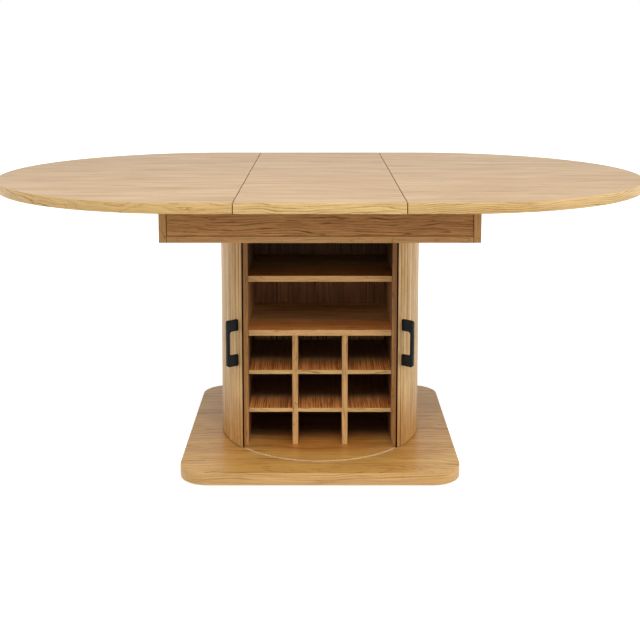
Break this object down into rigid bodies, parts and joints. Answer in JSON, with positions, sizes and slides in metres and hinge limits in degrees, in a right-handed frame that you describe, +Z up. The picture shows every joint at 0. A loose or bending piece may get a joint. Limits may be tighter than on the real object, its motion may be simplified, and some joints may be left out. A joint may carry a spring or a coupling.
{
  "type": "extending table with storage cabinet",
  "caption": "Extending oval dining table with a loose leaf, on a round drum with tambour doors, open shelves and a bottle rack, over a square floor plate with rounded corners.",
  "frame": {"origin": "on the floor, under the middle of the table and on the axis of its drum", "axes": "+Z up; +X along the table, towards its right end; -Y towards the open front of the cabinet"},
  "size_m": [1.7558, 1.15, 0.762],
  "materials": {
    "top_oak": "clear matt lacquer on pale oak",
    "base_oak": "clear matt lacquer on golden oak",
    "apron_oak": "clear matt lacquer on oak",
    "cabinet_oak": "clear matt lacquer on oak",
    "slat_oak": "clear matt lacquer on oak",
    "inner_wood": "bare beech",
    "track_plastic": "cream moulded plastic",
    "canvas": "brown cotton canvas",
    "pull_metal": "black powder coat",
    "slide_steel": "zinc plated",
    "nylon": "natural nylon",
    "pad_felt": "pressed felt",
    "glide_strip": "dark low-friction tape"
  },
  "bodies": {
    "root": {"apron_corner_blocks": "inner_wood", "apron_floor": "apron_oak", "back_panel": "cabinet_oak", "base_bolts": "slide_steel", "base_pads": "pad_felt", "base_plate": "base_oak", "front_apron_board": "apron_oak", "front_slide_rail": "inner_wood", "glide_strips": "glide_strip", "left_apron_end": "apron_oak", "left_side_panel": "cabinet_oak", "left_slide_channels": "slide_steel", "lower_rack_shelf": "cabinet_oak", "lower_shelf": "cabinet_oak", "lower_track": "track_plastic", "rack_divider_1": "cabinet_oak", "rack_divider_2": "cabinet_oak", "rear_apron_board": "apron_oak", "rear_slide_rail": "inner_wood", "right_apron_end": "apron_oak", "right_side_panel": "cabinet_oak", "right_slide_channels": "slide_steel", "upper_rack_shelf": "cabinet_oak", "upper_shelf": "cabinet_oak"},
    "left_top": {"left_front_runner": "inner_wood", "left_half_top": "top_oak", "left_rear_runner": "inner_wood", "left_slide_members": "slide_steel", "left_slide_shoes": "nylon"},
    "right_top": {"right_front_runner": "inner_wood", "right_half_top": "top_oak", "right_rear_runner": "inner_wood", "right_slide_members": "slide_steel", "right_slide_shoes": "nylon"},
    "leaf": {"leaf": "top_oak"},
    "left_door": {"left_door_canvas": "canvas", "left_door_pull": "pull_metal", "left_door_slats": "slat_oak", "left_door_stile": "slat_oak"},
    "right_door": {"right_door_canvas": "canvas", "right_door_pull": "pull_metal", "right_door_slats": "slat_oak", "right_door_stile": "slat_oak"}
  },
  "joints": [
    {"name": "left_top_slide", "type": "slide", "parent": "root", "child": "left_top", "axis": [-1, 0, 0], "range_m": [0, 0.04]},
    {"name": "right_top_slide", "type": "slide", "parent": "root", "child": "right_top", "axis": [1, 0, 0], "range_m": [0, 0.04]},
    {"name": "leaf_lift", "type": "slide", "parent": "root", "child": "leaf", "axis": [0, 0, 1], "range_m": [0, 0.3]},
    {"name": "left_door_turn", "type": "hinge", "parent": "root", "child": "left_door", "pos_m": [0, 0, 0.3], "axis": [0, 0, 1], "range_deg": [0, 48]},
    {"name": "right_door_turn", "type": "hinge", "parent": "root", "child": "right_door", "pos_m": [0, 0, 0.3], "axis": [0, 0, -1], "range_deg": [0, 48]}
  ]
}
